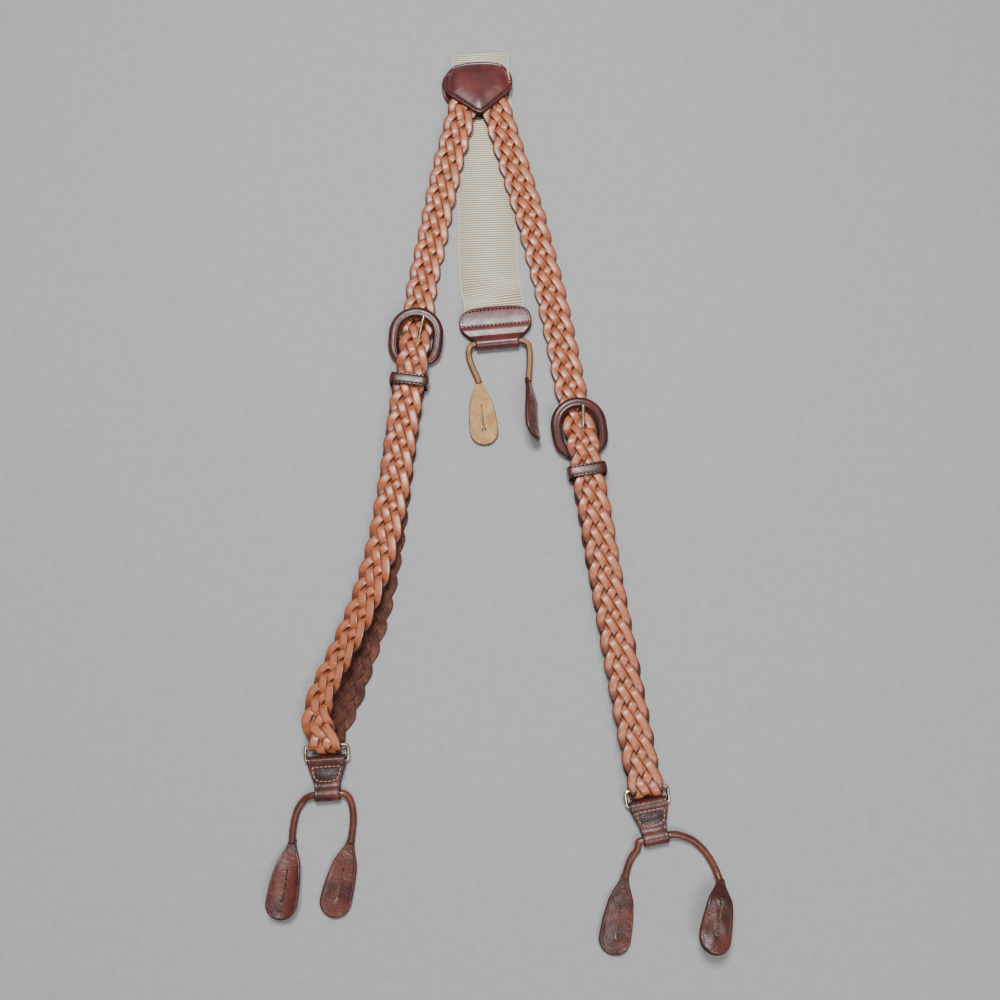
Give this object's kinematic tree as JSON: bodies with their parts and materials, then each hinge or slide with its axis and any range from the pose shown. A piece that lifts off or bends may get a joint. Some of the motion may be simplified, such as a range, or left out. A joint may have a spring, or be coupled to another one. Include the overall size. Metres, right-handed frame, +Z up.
{
  "type": "braided leather suspenders",
  "caption": "Y-back suspenders with braided leather straps, leather-covered buckles, a woven elastic back strap and rolled leather button-on ends.",
  "frame": {"origin": "centre of the bounding box at its base, on the surface the suspenders lie on", "axes": "+Y runs along the straps from the front button ends to the yoke, +Z is up away from the surface, +X is to the right as the front side is seen with the yoke at the top"},
  "size_m": [0.253, 0.5626, 0.0249],
  "materials": {
    "braided_leather": "tan braided leather strands with a soft polish",
    "dark_leather": "glossy oxblood brown leather with painted edges",
    "buckle_leather": "glossy oxblood brown leather stretched over a frame",
    "rolled_leather": "rolled brown leather",
    "tab_leather": "creased and worn brown leather",
    "suede_leather": "flesh side of the leather, pale and matt",
    "elastic_webbing": "ivory ribbed elastic webbing",
    "antique_brass": "darkened brass with bright worn edges"
  },
  "bodies": {
    "back_strap": {"elastic_rear": "elastic_webbing", "rear_patch": "dark_leather"},
    "rear_rolled_cord": {"rear_cord": "suede_leather"},
    "rear_button_tab_left": {"rear_tab_left": "suede_leather"},
    "rear_button_tab_right": {"rear_tab_right": "tab_leather"},
    "yoke": {"yoke_front": "dark_leather", "yoke_back": "dark_leather", "elastic_upper": "elastic_webbing", "strap_root_left": "braided_leather", "strap_root_right": "braided_leather"},
    "strap_left": {"strap_upper_left": "braided_leather", "strap_middle_left": "braided_leather", "strap_buckled_left": "braided_leather", "strap_lower_left": "braided_leather", "strap_return_left": "braided_leather", "buckle_cover_left": "buckle_leather", "buckle_bar_left": "antique_brass"},
    "prong_left": {"prong_left": "antique_brass"},
    "keeper_left": {"keeper_left": "dark_leather"},
    "ring_left": {"ring_left": "antique_brass"},
    "end_tab_left": {"end_tab_left": "dark_leather"},
    "rolled_cord_left": {"cord_left": "rolled_leather"},
    "button_tab_left_outer": {"tab_left_outer": "tab_leather"},
    "button_tab_left_inner": {"tab_left_inner": "tab_leather"},
    "strap_right": {"strap_upper_right": "braided_leather", "strap_middle_right": "braided_leather", "strap_buckled_right": "braided_leather", "strap_lower_right": "braided_leather", "strap_return_right": "braided_leather", "buckle_cover_right": "buckle_leather", "buckle_bar_right": "antique_brass"},
    "prong_right": {"prong_right": "antique_brass"},
    "keeper_right": {"keeper_right": "dark_leather"},
    "ring_right": {"ring_right": "antique_brass"},
    "end_tab_right": {"end_tab_right": "dark_leather"},
    "rolled_cord_right": {"cord_right": "rolled_leather"},
    "button_tab_right_outer": {"tab_right_outer": "tab_leather"},
    "button_tab_right_inner": {"tab_right_inner": "tab_leather"}
  },
  "joints": [
    {"name": "yoke_fold", "type": "hinge", "parent": "back_strap", "child": "yoke", "pos_m": [-0.0131, 0.28024, 0.00305], "axis": [-0.9981, -0.0611, 0], "range_deg": [0, 165]},
    {"name": "rear_cord_swing", "type": "hinge", "parent": "back_strap", "child": "rear_rolled_cord", "pos_m": [-0.0009, 0.0725, 0.0039], "axis": [-0.9957, -0.0924, 0], "range_deg": [0, 60]},
    {"name": "rear_tab_left_flex", "type": "hinge", "parent": "rear_rolled_cord", "child": "rear_button_tab_left", "pos_m": [-0.0123, 0.0458, 0.0026], "axis": [-0.994, -0.1097, 0], "range_deg": [0, 75]},
    {"name": "rear_tab_right_flex", "type": "hinge", "parent": "rear_rolled_cord", "child": "rear_button_tab_right", "pos_m": [0.01673, 0.04563, 0.00578], "axis": [0.1878, -0.1168, -0.9752], "range_deg": [0, 20]},
    {"name": "strap_left_lift", "type": "hinge", "parent": "yoke", "child": "strap_left", "pos_m": [-0.02617, 0.22815, 0.00755], "axis": [-1, 0, 0], "range_deg": [0, 120]},
    {"name": "prong_left_pivot", "type": "hinge", "parent": "strap_left", "child": "prong_left", "pos_m": [-0.05277, 0.0622, 0.0036], "axis": [0.9962, -0.0872, 0], "range_deg": [0, 12]},
    {"name": "keeper_left_slide", "type": "slide", "parent": "strap_left", "child": "keeper_left", "axis": [0.1132, 0.9936, 0], "range_m": [-0.02, 0.002]},
    {"name": "ring_left_swing", "type": "hinge", "parent": "strap_left", "child": "ring_left", "pos_m": [-0.097, -0.171, 0.0051], "axis": [-0.9994, -0.0349, 0], "range_deg": [0, 40]},
    {"name": "end_tab_left_swing", "type": "hinge", "parent": "ring_left", "child": "end_tab_left", "pos_m": [-0.0967, -0.17951, 0.0039], "axis": [-0.9994, -0.0349, 0], "range_deg": [0, 40]},
    {"name": "cord_left_swing", "type": "hinge", "parent": "end_tab_left", "child": "rolled_cord_left", "pos_m": [-0.09543, -0.19767, 0.0039], "axis": [-0.9976, -0.0698, 0], "range_deg": [0, 60]},
    {"name": "tab_left_outer_flex", "type": "hinge", "parent": "rolled_cord_left", "child": "button_tab_left_outer", "pos_m": [-0.1144, -0.2239, 0.0028], "axis": [-0.994, 0.1097, 0], "range_deg": [0, 75]},
    {"name": "tab_left_inner_flex", "type": "hinge", "parent": "rolled_cord_left", "child": "button_tab_left_inner", "pos_m": [-0.0823, -0.2238, 0.0026], "axis": [-0.9751, 0.2215, 0], "range_deg": [0, 75]},
    {"name": "strap_right_lift", "type": "hinge", "parent": "yoke", "child": "strap_right", "pos_m": [0.00086, 0.22814, 0.00755], "axis": [-1, 0, 0], "range_deg": [0, 120]},
    {"name": "prong_right_pivot", "type": "hinge", "parent": "strap_right", "child": "prong_right", "pos_m": [0.05083, 0.00314, 0.0036], "axis": [0.9871, 0.1599, 0], "range_deg": [0, 12]},
    {"name": "keeper_right_slide", "type": "slide", "parent": "strap_right", "child": "keeper_right", "axis": [-0.1599, 0.9871, 0], "range_m": [-0.02, 0.002]},
    {"name": "ring_right_swing", "type": "hinge", "parent": "strap_right", "child": "ring_right", "pos_m": [0.082, -0.1945, 0.0051], "axis": [-0.9903, -0.1392, 0], "range_deg": [0, 40]},
    {"name": "end_tab_right_swing", "type": "hinge", "parent": "ring_right", "child": "end_tab_right", "pos_m": [0.08318, -0.20293, 0.0039], "axis": [-0.9903, -0.1392, 0], "range_deg": [0, 40]},
    {"name": "cord_right_swing", "type": "hinge", "parent": "end_tab_right", "child": "rolled_cord_right", "pos_m": [0.08666, -0.2208, 0.0039], "axis": [-0.9816, -0.1908, 0], "range_deg": [0, 60]},
    {"name": "tab_right_outer_flex", "type": "hinge", "parent": "rolled_cord_right", "child": "button_tab_right_outer", "pos_m": [0.12134, -0.24367, 0.00513], "axis": [-0.9759, 0.2181, 0], "range_deg": [0, 45]},
    {"name": "tab_right_inner_flex", "type": "hinge", "parent": "rolled_cord_right", "child": "button_tab_right_inner", "pos_m": [0.0691, -0.2425, 0.0026], "axis": [-0.9789, 0.2045, 0], "range_deg": [0, 75]}
  ]
}
